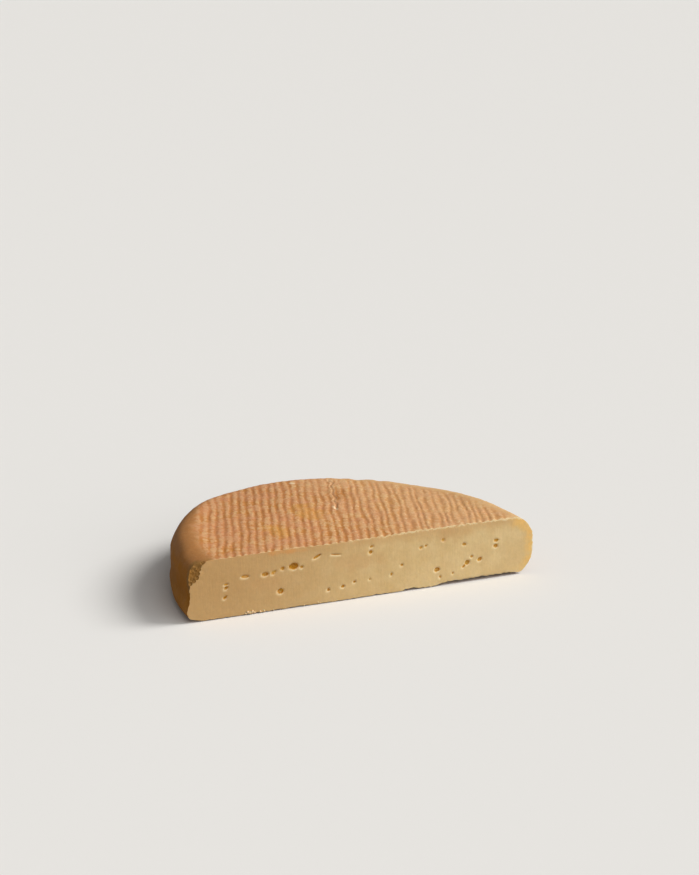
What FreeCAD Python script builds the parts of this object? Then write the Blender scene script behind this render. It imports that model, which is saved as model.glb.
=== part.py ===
"""Half of a washed-rind munster cheese, as a parametric FreeCAD document (millimetres).

The wheel is a low drum with rounded rims, a little pointed at the back. Its top
carries the shallow grooves of the drying mat, it is cut across the middle, and the cut
face shows the small holes (eyes) of the paste. The half is one piece, so it is one
solid.

Frame: X runs along the cut, the cut face looks along -Y, +Z is up. The origin is on
the underside, at the middle of the half's own outline.
"""
import FreeCAD, Part
import math
import os

import Sketcher

NODE = "half_wheel"

# The driving sizes, in millimetres, and the angles in degrees.
SIZES = {
    # the half wheel
    "half_width": 88.0,  # half the length of the cut
    "depth": 112.6,  # from the cut face to the back of the rim
    "height": 28.8,
    "nose_radius": 74.0,  # roundness of the back of the outline
    "shoulder_radius": 10.0,  # rounding of the upper rim
    "foot_radius": 9.0,  # rounding of the lower rim
    # the grooves that the drying mat leaves in the top
    "groove_pitch": 3.65,
    "groove_width": 2.8,
    "groove_depth": 0.7,
    "groove_lean": 20.0,  # angle between a groove and the Y axis
    "left_margin": 16.0,  # smooth border beside the first groove
    "right_margin": 12.0,  # smooth border beside the last groove
    # the chip torn out of the rind at the left end of the cut
    "chip_width": 3.5,
    "chip_height": 5.5,
    "chip_depth": 2.5,
    "chip_lean": 12.0,
    "chip_rise": 8.0,  # middle of the chip above mid-height
}

# Each eye: how far it lies along the cut from the middle, how far above mid-height,
# its half length, its half height, how deep it reaches, and how far it leans.
EYE_FIELDS = ("along", "rise", "half_length", "half_height", "reach", "lean")
EYES = {
    "widest_eye": (-36.5, 5.9, 2.3, 1.5, 1.9, 0.0),
    "left_low_eye": (-43.2, -5.2, 1.6, 1.2, 1.5, 0.0),
    "left_high_eye": (-50.5, 4.1, 1.7, 0.8, 1.2, 0.0),
    "left_end_eye": (-70.3, -4.4, 1.2, 0.75, 1.1, 25.0),
    "rising_slit": (-24.8, 9.1, 2.2, 0.7, 1.4, 20.0),
    "level_slit": (-15.3, 8.8, 2.5, 0.5, 1.2, -8.0),
    "middle_eye": (2.2, 7.6, 1.0, 0.8, 1.2, 0.0),
    "right_low_eye": (37.0, -6.0, 1.5, 1.1, 1.5, -15.0),
    "right_high_eye": (51.5, 4.8, 1.1, 0.75, 1.1, 10.0),
    "split_eye": (53.0, -4.8, 1.7, 1.2, 1.4, 40.0),
    "slanting_eye": (59.8, -3.9, 1.3, 0.85, 1.2, 25.0),
    "twin_upper_eye": (68.7, 4.4, 1.1, 0.75, 1.2, 0.0),
    "twin_lower_eye": (68.4, 1.8, 1.2, 0.95, 1.3, 0.0),
}

# Lengths worked out from the sheet. The half stands with its outline's middle on the
# origin, so the cut face lies half a depth in front of it.
CUT_FACE = "Sizes.depth / 2"
MID_HEIGHT = "Sizes.height / 2"
LEAN = "(Sizes.groove_lean * 1 deg)"
# Radius of the two flanks, which leave the cut square and run into the nose.
FLANK_RADIUS = (
    "((Sizes.half_width ^ 2 + Sizes.depth ^ 2 - 2 * Sizes.depth * Sizes.nose_radius)"
    " / (2 * (Sizes.half_width - Sizes.nose_radius)))"
)
# Across the grooves, the outline reaches this far to the left and to the right.
LEFT_REACH = (
    "({1} - ({1} - Sizes.half_width) * cos({0}) - Sizes.depth / 2 * sin({0}))"
).format(LEAN, FLANK_RADIUS)
RIGHT_REACH = "(Sizes.half_width * cos({0}) + Sizes.depth / 2 * sin({0}))".format(LEAN)
GROOVE_RADIUS = (
    "(Sizes.groove_width ^ 2 / 4 + Sizes.groove_depth ^ 2) / (2 * Sizes.groove_depth)"
)
GROOVE_COUNT = (
    "floor(({1} - Sizes.right_margin + {0} - Sizes.left_margin) / Sizes.groove_pitch) + 1"
).format(LEFT_REACH, RIGHT_REACH)

# Ends of a line and the centre of a curve, as a sketch numbers them.
START, END, CENTRE = 1, 2, 3
ORIGIN = (-1, START)
UPRIGHT_AXIS = -2
# Two heights nearer than this are one.
FLAT = 1e-6
# A turn of nothing has no axis, so a tool starts with this one until the sheet turns it.
FIRST_TURN = 1.0


def write_sheet(doc):
    """Put every driving size into the spreadsheet, each under its own alias."""
    sheet = doc.addObject("Spreadsheet::Sheet", "Sizes")
    rows = dict(SIZES)
    for eye, values in EYES.items():
        for field, value in zip(EYE_FIELDS, values):
            rows[eye + "_" + field] = value
    for row, (alias, value) in enumerate(rows.items(), start=1):
        sheet.set("A%d" % row, alias)
        sheet.set("B%d" % row, "%g" % value)
        sheet.setAlias("B%d" % row, alias)
    doc.recompute()


def origin_plane(body, role):
    """Return one of the body's own origin planes."""
    return next(item for item in body.Origin.OriginFeatures if item.Role == role)


def new_sketch(body, name, role):
    """Add a sketch that lies on one of the body's origin planes."""
    sketch = body.newObject("Sketcher::SketchObject", name)
    sketch.AttachmentSupport = [(origin_plane(body, role), "")]
    sketch.MapMode = "FlatFace"
    return sketch


def bind(sketch, kind, elements, start_value, expression):
    """Add a dimension to a sketch and let it follow the sheet."""
    index = sketch.addConstraint(Sketcher.Constraint(kind, *elements, start_value))
    sketch.setExpression("Constraints[%d]" % index, expression)


def outline_arcs():
    """The outline's three arcs, from the right end of the cut round to the left."""
    half_width, depth, nose = (SIZES[n] for n in ("half_width", "depth", "nose_radius"))
    flank = (half_width**2 + depth**2 - 2 * depth * nose) / (2 * (half_width - nose))
    inset, rise = flank - half_width, depth - nose
    join = math.atan2(rise, inset)
    across = math.pi - join
    arcs = (
        (-inset, 0, flank, 0, join),
        (0, rise, nose, join, across),
        (inset, 0, flank, across, math.pi),
    )
    for x, y, radius, start, end in arcs:
        centre = FreeCAD.Vector(x, y - depth / 2, 0)
        circle = Part.Circle(centre, FreeCAD.Vector(0, 0, 1), radius)
        yield Part.ArcOfCircle(circle, start, end)


def sketch_half(body):
    """Draw the half wheel: two flanks and a nose, closed by the line of the cut."""
    sketch = new_sketch(body, "HalfOutline", "XY_Plane")
    right, nose, left = (sketch.addGeometry(arc, False) for arc in outline_arcs())
    ends = (sketch.Geometry[left].EndPoint, sketch.Geometry[right].StartPoint)
    cut = sketch.addGeometry(Part.LineSegment(*ends), False)
    rules = (
        ("Tangent", right, END, nose, START),
        ("Tangent", nose, END, left, START),
        ("Coincident", left, END, cut, START),
        ("Coincident", cut, END, right, START),
        ("PointOnObject", right, CENTRE, cut),
        ("PointOnObject", left, CENTRE, cut),
        ("Equal", right, left),
        ("Horizontal", cut),
        ("PointOnObject", nose, CENTRE, UPRIGHT_AXIS),
    )
    for rule in rules:
        sketch.addConstraint(Sketcher.Constraint(*rule))
    half_width, depth, radius = (SIZES[n] for n in ("half_width", "depth", "nose_radius"))
    along_cut = (cut, START, cut, END)
    bind(sketch, "DistanceX", along_cut, 2 * half_width, "2 * Sizes.half_width")
    bind(sketch, "DistanceY", (cut, START) + ORIGIN, depth / 2, CUT_FACE)
    bind(sketch, "Radius", (nose,), radius, "Sizes.nose_radius")
    below = (nose, CENTRE) + ORIGIN
    bind(sketch, "DistanceY", below, radius - depth / 2, "Sizes.nose_radius - " + CUT_FACE)
    return sketch


def pad_half(body):
    """Raise the outline to the cheese's height."""
    pad = body.newObject("PartDesign::Pad", "Half")
    pad.Profile = sketch_half(body)
    pad.setExpression("Length", "Sizes.height")
    body.Document.recompute()
    return pad


def rim_edges(shape, level):
    """Name the curved edges that go round the rim at one height."""
    names = []
    for number, edge in enumerate(shape.Edges, start=1):
        box = edge.BoundBox
        flat = abs(box.ZMin - level) < FLAT and abs(box.ZMax - level) < FLAT
        if flat and box.YLength > FLAT:
            names.append("Edge%d" % number)
    return names


def round_rim(body, base, name, level, radius):
    """Round the upper or lower rim, by a radius of the sheet."""
    fillet = body.newObject("PartDesign::Fillet", name)
    fillet.Base = (base, rim_edges(base.Shape, level))
    fillet.setExpression("Radius", radius)
    body.Document.recompute()
    return fillet


def press_grooves(body):
    """Press the mat's grooves into the top, each a shallow round-bottomed channel."""
    sketch = new_sketch(body, "GrooveSection", "XZ_Plane")
    turn = FreeCAD.Rotation(FreeCAD.Vector(0, -1, 0), SIZES["groove_lean"])
    sketch.AttachmentOffset = FreeCAD.Placement(FreeCAD.Vector(), turn)
    sketch.setExpression("AttachmentOffset.Rotation.Angle", LEAN)
    axis = FreeCAD.Vector(0, 0, 1)
    radius = SIZES["groove_width"] / 2
    centre = FreeCAD.Vector(-SIZES["half_width"] / 2, SIZES["height"] + radius, 0)
    circle = sketch.addGeometry(Part.Circle(centre, axis, radius), False)
    bind(sketch, "Radius", (circle,), radius, GROOVE_RADIUS)
    from_middle = (circle, CENTRE) + ORIGIN
    bind(sketch, "DistanceX", from_middle, -centre.x, LEFT_REACH + " - Sizes.left_margin")
    above = ORIGIN + (circle, CENTRE)
    level = "Sizes.height - Sizes.groove_depth + " + GROOVE_RADIUS
    bind(sketch, "DistanceY", above, centre.y, level)

    groove = body.newObject("PartDesign::Pocket", "Groove")
    groove.Profile = sketch
    groove.Type = "Length"
    groove.SideType = "Symmetric"
    groove.setExpression("Length", "4 * (Sizes.depth + Sizes.half_width)")
    body.Document.recompute()

    pattern = body.newObject("PartDesign::LinearPattern", "Grooves")
    pattern.Originals = [groove]
    pattern.Direction = (sketch, ["H_Axis"])
    pattern.Mode = "Spacing"
    pattern.setExpression("Offset", "Sizes.groove_pitch")
    pattern.setExpression("Occurrences", GROOVE_COUNT)
    body.Tip = pattern
    body.Document.recompute()
    return pattern


def hollow(body, name, radii, along, rise, lean):
    """Hollow an ellipsoid out of the cut face, seated and turned by the sheet.

    The radii are its reach into the paste, its half length and its half height.
    """
    tool = body.newObject("PartDesign::SubtractiveEllipsoid", name)
    for radius, expression in zip(("Radius1", "Radius2", "Radius3"), radii):
        tool.setExpression(radius, expression)
    tool.AttachmentSupport = [(origin_plane(body, "XZ_Plane"), "")]
    tool.MapMode = "FlatFace"
    upright = FreeCAD.Rotation(FreeCAD.Vector(0, 0, 1), FIRST_TURN)
    tool.AttachmentOffset = FreeCAD.Placement(FreeCAD.Vector(), upright)
    tool.setExpression("AttachmentOffset.Base.x", along)
    tool.setExpression("AttachmentOffset.Base.y", "%s + %s" % (MID_HEIGHT, rise))
    tool.setExpression("AttachmentOffset.Base.z", CUT_FACE)
    tool.setExpression("AttachmentOffset.Rotation.Angle", "%s * 1 deg" % lean)
    body.Document.recompute()
    return tool


def hollow_eye(body, name):
    """Hollow one eye of the paste."""
    cells = {field: "Sizes.%s_%s" % (name, field) for field in EYE_FIELDS}
    radii = (cells["reach"], cells["half_length"], cells["half_height"])
    return hollow(body, name, radii, cells["along"], cells["rise"], cells["lean"])


def tear_chip(body):
    """Tear the chip of rind away at the left end of the cut."""
    radii = ("Sizes.chip_depth", "Sizes.chip_width", "Sizes.chip_height / 2")
    place = ("-Sizes.half_width", "Sizes.chip_rise", "Sizes.chip_lean")
    return hollow(body, "Chip", radii, *place)


def build_half_wheel(doc):
    """Make the body: the half wheel, its rims, its eyes, the torn rind, the grooves."""
    body = doc.addObject("PartDesign::Body", "HalfWheel")
    body.Label = NODE
    steps = [pad_half(body)]
    steps.append(
        round_rim(body, steps[-1], "Shoulder", SIZES["height"], "Sizes.shoulder_radius")
    )
    steps.append(round_rim(body, steps[-1], "Foot", 0, "Sizes.foot_radius"))
    steps.extend(hollow_eye(body, name) for name in EYES)
    steps.append(tear_chip(body))
    steps.append(press_grooves(body))
    check_cuts(steps)
    return body


def check_cuts(steps):
    """Stop if a step after the first takes nothing away."""
    for before, after in zip(steps, steps[1:]):
        if not after.Shape.Volume < before.Shape.Volume:
            raise RuntimeError("%s cuts nothing" % after.Name)


def check_document(doc, bodies):
    """Stop if any object failed or a body isn't one valid solid."""
    for item in doc.Objects:
        if "Invalid" in item.State or "Error" in item.State:
            raise RuntimeError("%s failed: %s" % (item.Name, item.State))
    for body in bodies:
        shape = body.Shape
        if shape.isNull() or not shape.isValid() or len(shape.Solids) != 1:
            raise RuntimeError("%s isn't one valid solid" % body.Label)


def main():
    """Build the document, check it and write the solid."""
    doc = FreeCAD.newDocument("MunsterHalf")
    write_sheet(doc)
    bodies = [build_half_wheel(doc)]
    check_document(doc, bodies)
    os.makedirs("parts", exist_ok=True)
    for body in bodies:
        body.Shape.exportStep("parts/%s.step" % body.Label)
        box = body.Shape.optimalBoundingBox(False)
        sides = (box.XLength, box.YLength, box.ZLength)
        print("%s: %.2f x %.2f x %.2f mm" % ((body.Label,) + sides))
        print("volume %.0f mm3, %d faces" % (body.Shape.Volume, len(body.Shape.Faces)))


main()
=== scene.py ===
"""The look of a half wheel of washed-rind munster cheese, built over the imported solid.

Everything is in metres, in the solid's own frame: the cut face looks along -Y, the
half wheel lies on its pressed underside, and +Z is up. Sizes written in the classes
are millimetres where their name or docstring says so.
"""

import logging
import math
from dataclasses import dataclass
from enum import Enum
from typing import Callable, Sequence, Union

import bmesh
import bpy
import numpy as np
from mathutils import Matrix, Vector


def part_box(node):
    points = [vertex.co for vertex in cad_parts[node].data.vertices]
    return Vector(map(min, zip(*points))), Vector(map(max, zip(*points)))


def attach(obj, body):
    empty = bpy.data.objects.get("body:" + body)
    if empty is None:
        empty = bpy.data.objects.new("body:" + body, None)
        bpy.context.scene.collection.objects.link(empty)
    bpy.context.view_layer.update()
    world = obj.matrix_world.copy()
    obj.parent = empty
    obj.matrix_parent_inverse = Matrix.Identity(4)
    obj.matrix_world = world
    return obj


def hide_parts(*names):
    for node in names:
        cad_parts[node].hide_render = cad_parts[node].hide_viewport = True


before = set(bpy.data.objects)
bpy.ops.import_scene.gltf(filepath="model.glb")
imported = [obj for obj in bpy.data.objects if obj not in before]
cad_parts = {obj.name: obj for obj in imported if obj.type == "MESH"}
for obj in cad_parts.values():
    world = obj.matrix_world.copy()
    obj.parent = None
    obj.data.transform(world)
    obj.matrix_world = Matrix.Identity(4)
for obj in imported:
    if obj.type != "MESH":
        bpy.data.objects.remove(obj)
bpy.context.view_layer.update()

LOG = logging.getLogger("half_wheel")
MM = 0.001
TOUCH = 1e-5
WELD = 2e-6
LEAN = math.radians(20.0)
NODE = "half_wheel"
BODY = "root"

Colour = tuple[float, float, float]
Triples = tuple[tuple[float, float, float], ...]
Piece = bpy.types.Object
Material = bpy.types.Material
Tree = bpy.types.NodeTree
Socket = bpy.types.NodeSocket
Input = Union["Value", Socket, float, Sequence[float]]


class Place(Enum):
    """The material slots of the half wheel."""

    RIND = 0
    PASTE = 1
    EYE = 2


class Face(Enum):
    """The two pressed faces of the wheel."""

    TOP = "top"
    BASE = "base"


def srgb(*steps: int) -> Colour:
    """Turns a colour of 0 to 255 steps into linear light.

    Args:
        steps: Red, green and blue, 0 to 255.

    Returns:
        The linear colour.
    """
    shares = [step / 255.0 for step in steps]
    return tuple(s / 12.92 if s <= 0.04045 else ((s + 0.055) / 1.055) ** 2.4 for s in shares)


# --------------------------------------------------------------------------
# Hands: the operators that every piece is shaped with
# --------------------------------------------------------------------------


def near(length: float, target: float) -> bool:
    """Says whether two lengths are the same."""
    return abs(length - target) < TOUCH


def only(piece: Piece) -> None:
    """Selects one object and nothing else.

    Args:
        piece: The object to work on.
    """
    if bpy.context.object and bpy.context.object.mode != "OBJECT":
        bpy.ops.object.mode_set(mode="OBJECT")
    bpy.ops.object.select_all(action="DESELECT")
    piece.select_set(True)
    bpy.context.view_layer.objects.active = piece


def open_mesh(piece: Piece, picked: str = "DESELECT") -> None:
    """Opens a piece in edit mode.

    Args:
        piece: The mesh object.
        picked: SELECT to start with all of it selected, DESELECT with nothing.
    """
    only(piece)
    bpy.ops.object.mode_set(mode="EDIT")
    bpy.ops.mesh.select_all(action=picked)


def close_mesh() -> None:
    """Leaves edit mode."""
    bpy.ops.object.mode_set(mode="OBJECT")


def settle(piece: Piece, size: Sequence[float] = (1.0, 1.0, 1.0)) -> None:
    """Puts a piece's place, turn and size into its mesh.

    Args:
        piece: The mesh object.
        size: Its stretch along its own axes.
    """
    piece.scale = size
    only(piece)
    bpy.ops.object.transform_apply(location=True, rotation=True, scale=True)


def pick_corners(piece: Piece, test: Callable[[Vector], bool]) -> None:
    """Selects the corners of an open mesh that lie at a place.

    Args:
        piece: The mesh object, in edit mode.
        test: Says whether a corner is wanted, from its place.
    """
    bpy.ops.mesh.select_mode(type="VERT")
    shell = bmesh.from_edit_mesh(piece.data)
    for corner in shell.verts:
        corner.select_set(test(corner.co))
    shell.select_flush_mode()
    bmesh.update_edit_mesh(piece.data)


def pick_edges(piece: Piece, test: Callable[[Vector], bool], open_only: bool = False) -> None:
    """Selects the edges of an open mesh that lie at a place.

    Args:
        piece: The mesh object, in edit mode.
        test: Says whether an edge is wanted, from the place of each end.
        open_only: Takes only edges with fewer than two faces.
    """
    bpy.ops.mesh.select_mode(type="EDGE")
    bpy.ops.mesh.select_all(action="DESELECT")
    shell = bmesh.from_edit_mesh(piece.data)
    for edge in shell.edges:
        if open_only and len(edge.link_faces) > 1:
            continue
        if test(edge.verts[0].co) and test(edge.verts[1].co):
            edge.select_set(True)
    shell.select_flush_mode()
    bmesh.update_edit_mesh(piece.data)


def weld(pieces: Sequence[Piece], name: str) -> Piece:
    """Joins pieces into the first one.

    Args:
        pieces: The mesh objects; the first keeps its place.
        name: The name of the whole.

    Returns:
        The joined object.
    """
    only(pieces[0])
    for piece in pieces[1:]:
        piece.select_set(True)
    bpy.ops.object.join()
    whole = bpy.context.view_layer.objects.active
    whole.name = name
    whole.data.name = name
    return whole


def corner_places(piece: Piece) -> np.ndarray:
    """Reads where the corners of a piece are.

    Args:
        piece: The mesh object.

    Returns:
        Their x, y and z, as three rows in metres.
    """
    places = np.empty(len(piece.data.vertices) * 3)
    piece.data.vertices.foreach_get("co", places)
    return places.reshape(-1, 3).T


def apply_new(piece: Piece, kind: str, **settings: object) -> None:
    """Adds one modifier to a piece and applies it.

    Args:
        piece: The mesh object.
        kind: The modifier's type name.
        settings: Properties to set on it.
    """
    only(piece)
    bpy.ops.object.modifier_add(type=kind)
    modifier = piece.modifiers[-1]
    for name, value in settings.items():
        setattr(modifier, name, value)
    bpy.ops.object.modifier_apply(modifier=modifier.name)


def discard(piece: Piece) -> None:
    """Removes a helper object and its mesh.

    Args:
        piece: The helper.
    """
    mesh = piece.data
    bpy.data.objects.remove(piece)
    bpy.data.meshes.remove(mesh)


def trail(points: Sequence[Vector], name: str, joined: bool = True) -> Piece:
    """Draws a line of edges, or a scatter of single corners.

    Args:
        points: Where its corners go, in metres.
        name: The helper's name.
        joined: Whether edges join the corners.

    Returns:
        The helper.
    """
    bpy.ops.object.select_all(action="DESELECT")
    bpy.ops.mesh.primitive_plane_add(size=MM, location=points[0])
    line = bpy.context.object
    line.name = name
    settle(line)
    open_mesh(line)
    bpy.ops.mesh.select_mode(type="VERT")
    bpy.ops.mesh.select_all(action="SELECT")
    bpy.ops.mesh.merge(type="CENTER")
    extend = bpy.ops.mesh.extrude_vertices_move if joined else bpy.ops.mesh.duplicate_move
    for start, end in zip(points, points[1:]):
        extend(TRANSFORM_OT_translate={"value": tuple(end - start)})
    close_mesh()
    return line


def rough_lump(size: Sequence[float], smooth: float = 0.0, **shake: float) -> Piece:
    """Sizes the ball that was added last, and makes it uneven.

    Args:
        size: Its stretch along its own axes.
        smooth: How far it is smoothed afterwards.
        shake: How its corners are moved.

    Returns:
        The lump.
    """
    lump = bpy.context.object
    settle(lump, size)
    open_mesh(lump, "SELECT")
    bpy.ops.transform.vertex_random(**shake)
    if smooth:
        bpy.ops.mesh.vertices_smooth(factor=smooth, repeat=1)
    close_mesh()
    return lump


# --------------------------------------------------------------------------
# Node graphs
# --------------------------------------------------------------------------


class Value:
    """A value in a node graph; numbers add, subtract and multiply like plain ones."""

    def __init__(self, graph: "Graph", socket: Socket) -> None:
        """Keeps where the value comes from.

        Args:
            graph: The graph that it is in.
            socket: The output that gives it.
        """
        self.graph = graph
        self.socket = socket

    def __add__(self, other: Input) -> "Value":
        """Adds a number."""
        return self.graph.math("ADD", self, other)

    def __sub__(self, other: Input) -> "Value":
        """Takes a number away."""
        return self.graph.math("SUBTRACT", self, other)

    def __rsub__(self, other: Input) -> "Value":
        """Takes the value away from a number."""
        return self.graph.math("SUBTRACT", other, self)

    def __mul__(self, other: Input) -> "Value":
        """Multiplies by a number."""
        return self.graph.math("MULTIPLY", self, other)

    __radd__ = __add__
    __rmul__ = __mul__


class Graph:
    """Short ways to add and join nodes in one node tree."""

    def __init__(self, tree: Tree) -> None:
        """Keeps the tree that the nodes go into.

        Args:
            tree: A shader or geometry node tree.
        """
        self.tree = tree

    def node(self, kind: str, **settings: object) -> bpy.types.Node:
        """Adds a node.

        Args:
            kind: The node's type name.
            settings: Properties to set on it.

        Returns:
            The new node.
        """
        made = self.tree.nodes.new(kind)
        for name, value in settings.items():
            setattr(made, name, value)
        return made

    def feed(self, socket: Socket, value: Input) -> None:
        """Links a socket to a value, or writes the value on it.

        Args:
            socket: The input socket.
            value: What it is given.
        """
        if isinstance(value, Value):
            value = value.socket
        if isinstance(value, Socket):
            self.tree.links.new(value, socket)
        elif socket.type == "RGBA" and len(value) == 3:
            socket.default_value = (*value, 1.0)
        else:
            socket.default_value = value

    def math(
        self, operation: str, first: Input, second: Input = 0.0, clamp: bool = False
    ) -> Value:
        """Adds a Math node.

        Args:
            operation: The operation's name.
            first: The first number.
            second: The second number.
            clamp: Keeps the result between 0 and 1.

        Returns:
            The result.
        """
        made = self.node("ShaderNodeMath", operation=operation, use_clamp=clamp)
        self.feed(made.inputs[0], first)
        self.feed(made.inputs[1], second)
        return Value(self, made.outputs[0])

    def rest(self, value: Input) -> Value:
        """Gives one less a value, kept between 0 and 1."""
        return self.math("SUBTRACT", 1.0, value, clamp=True)

    def vector(self, operation: str, first: Input, second: Input = (0.0, 0.0, 0.0)) -> Value:
        """Adds a Vector Math node.

        Args:
            operation: The operation's name; SCALE takes a number second.
            first: The first vector.
            second: The second vector, or the number of SCALE.

        Returns:
            The vector, or the number for LENGTH.
        """
        made = self.node("ShaderNodeVectorMath", operation=operation)
        self.feed(made.inputs[0], first)
        if operation == "SCALE":
            self.feed(made.inputs["Scale"], second)
        elif operation not in ("LENGTH", "NORMALIZE"):
            self.feed(made.inputs[1], second)
        return Value(self, made.outputs["Value" if operation == "LENGTH" else "Vector"])

    def split(self, vector: Input) -> tuple[Value, ...]:
        """Takes a vector apart.

        Args:
            vector: The vector.

        Returns:
            Its x, y and z.
        """
        made = self.node("ShaderNodeSeparateXYZ")
        self.feed(made.inputs[0], vector)
        return tuple(Value(self, socket) for socket in made.outputs)

    def combine(self, *numbers: Input) -> Value:
        """Makes a vector.

        Args:
            numbers: Its x, y and z.

        Returns:
            The vector.
        """
        made = self.node("ShaderNodeCombineXYZ")
        for socket, number in zip(made.inputs, numbers):
            self.feed(socket, number)
        return Value(self, made.outputs[0])

    def noise(
        self, vector: Input, size: float, detail: float = 2.0, rough: float = 0.5
    ) -> Value:
        """Adds noise.

        Args:
            vector: Where it is read, in millimetres.
            size: The size of its lumps, in millimetres.
            detail: How many finer octaves it has.
            rough: How strong those are.

        Returns:
            A number around a half.
        """
        made = self.node("ShaderNodeTexNoise")
        self.feed(made.inputs["Vector"], vector)
        self.feed(made.inputs["Scale"], 1.0 / size)
        self.feed(made.inputs["Detail"], detail)
        self.feed(made.inputs["Roughness"], rough)
        return Value(self, made.outputs[0])

    def swing(self, vector: Input, size: float, reach: float, detail: float = 2.0) -> Value:
        """Gives noise that swings evenly about zero.

        Args:
            vector: Where it is read, in millimetres.
            size: The size of its lumps, in millimetres.
            reach: About how far it goes each way.
            detail: How many finer octaves it has.

        Returns:
            A number around zero.
        """
        return (self.noise(vector, size, detail) - 0.5) * (4.0 * reach)

    def ease(
        self, value: Input, low: float, high: float, start: float = 0.0, end: float = 1.0
    ) -> Value:
        """Goes smoothly from one number to another as a value changes.

        Args:
            value: The value that is read.
            low: Where the change begins.
            high: Where it ends; it may be the lower one.
            start: The result at low.
            end: The result at high.

        Returns:
            The result, which stays between start and end.
        """
        if low > high:
            low, high, start, end = high, low, end, start
        made = self.node("ShaderNodeMapRange", interpolation_type="SMOOTHSTEP")
        for name, number in (
            ("Value", value),
            ("From Min", low),
            ("From Max", high),
            ("To Min", start),
            ("To Max", end),
        ):
            self.feed(made.inputs[name], number)
        return Value(self, made.outputs[0])

    def blend(self, share: Input, first: Input, second: Input, kind: str = "MIX") -> Value:
        """Mixes two colours.

        Args:
            share: How much of the second shows.
            first: The first colour.
            second: The second colour.
            kind: The way of mixing.

        Returns:
            The mixed colour.
        """
        made = self.node("ShaderNodeMix", data_type="RGBA", blend_type=kind)
        for number, value in ((0, share), (6, first), (7, second)):
            self.feed(made.inputs[number], value)
        return Value(self, made.outputs[2])

    def group(self, tree: Tree, *values: Input) -> tuple[Value, ...]:
        """Places a shader group.

        Args:
            tree: The group.
            values: What its inputs are given, in order.

        Returns:
            Its outputs.
        """
        made = self.node("ShaderNodeGroup", node_tree=tree)
        for socket, value in zip(made.inputs, values):
            self.feed(socket, value)
        return tuple(Value(self, socket) for socket in made.outputs)

    def attribute(self, name: str) -> Value:
        """Reads one of the mesh's own numbers in a material."""
        return Value(self, self.node("ShaderNodeAttribute", attribute_name=name).outputs["Fac"])

    def distance(self, place: Input, tool: Piece, part: str) -> Value:
        """Measures how far a point is from a helper object.

        Args:
            place: The point, in millimetres.
            tool: The helper.
            part: What of it counts: POINTS, EDGES or FACES.

        Returns:
            The distance, in millimetres.
        """
        seen = self.node("GeometryNodeObjectInfo")
        seen.inputs["Object"].default_value = tool
        near = self.node("GeometryNodeProximity", target_element=part)
        self.feed(near.inputs[0], seen.outputs["Geometry"])
        sample = next(s for s in near.inputs if s.name.endswith("Position"))
        self.feed(sample, self.vector("SCALE", place, MM))
        return Value(self, near.outputs["Distance"]) * (1.0 / MM)


def turned(x: Value, y: Value, lean: float) -> tuple[Value, Value]:
    """Reads a point across and along the ridges.

    Args:
        x: Its x.
        y: Its y.
        lean: The ridges' angle to y.

    Returns:
        Its place across the ridges and along them.
    """
    cos, sin = math.cos(lean), math.sin(lean)
    return x * cos - y * sin, x * sin + y * cos


# --------------------------------------------------------------------------
# Sizes of the wheel
# --------------------------------------------------------------------------


@dataclass(frozen=True)
class Outline:
    """The wheel seen from above, in metres: a nose arc between two flank arcs.

    The flank arcs have their centres on the cut, so they leave it square.
    """

    half_width: float
    depth: float
    front: float
    nose_radius: float = 74.0 * MM

    @property
    def flank_radius(self) -> float:
        """The radius of the two flanks, tangent to the nose."""
        w, d, n = self.half_width, self.depth, self.nose_radius
        return (w * w + d * d - 2.0 * d * n) / (2.0 * (w - n))

    @property
    def flank_centre(self) -> Vector:
        """The centre of the right flank's arc."""
        return Vector((self.half_width - self.flank_radius, self.front, 0.0))

    @property
    def nose_centre(self) -> Vector:
        """The centre of the nose arc."""
        return Vector((0.0, self.front + self.depth - self.nose_radius, 0.0))

    @property
    def flank_turn(self) -> float:
        """The angle of each flank arc."""
        reach = self.nose_centre - self.flank_centre
        return math.atan2(reach.y, reach.x)

    def inset(self, x: np.ndarray, y: np.ndarray) -> np.ndarray:
        """Says how far inside the outline points are.

        Args:
            x: Their x, in metres.
            y: Their y, in metres.

        Returns:
            The distance to the outline, above zero inside.
        """
        side = np.abs(x)
        flank, nose = self.flank_centre, self.nose_centre
        line = nose - flank
        turn = line.x * (y - flank.y) - line.y * (side - flank.x)
        from_flank = self.flank_radius - np.hypot(side - flank.x, y - flank.y)
        from_nose = self.nose_radius - np.hypot(side, y - nose.y)
        return np.where(turn < 0.0, from_flank, from_nose)


@dataclass(frozen=True)
class Section:
    """The wheel's edge cut through, in metres."""

    half_width: float
    height: float
    shoulder: float = 10.0 * MM
    foot: float = 9.0 * MM
    reach: float = 12.0 * MM

    def inset(self, x: np.ndarray, z: np.ndarray) -> np.ndarray:
        """Says how far inside the cut face points are.

        Args:
            x: Their x, in metres.
            z: Their z, in metres.

        Returns:
            The distance to the edge of the cut face, above zero inside.
        """
        side = self.half_width - np.abs(x)
        plain = np.minimum(np.minimum(side, self.height - z), z)
        for radius, rise in ((self.shoulder, self.height - z), (self.foot, z)):
            corner = (side < radius) & (rise < radius)
            rounded = radius - np.hypot(radius - side, radius - rise)
            plain = np.where(corner, rounded, plain)
        return plain


@dataclass(frozen=True)
class Eye:
    """One small hole in the cut paste, in millimetres on the cut face."""

    along: float
    rise: float
    width: float
    height: float
    lean: float = 0.0
    depth: float = 1.2


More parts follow.
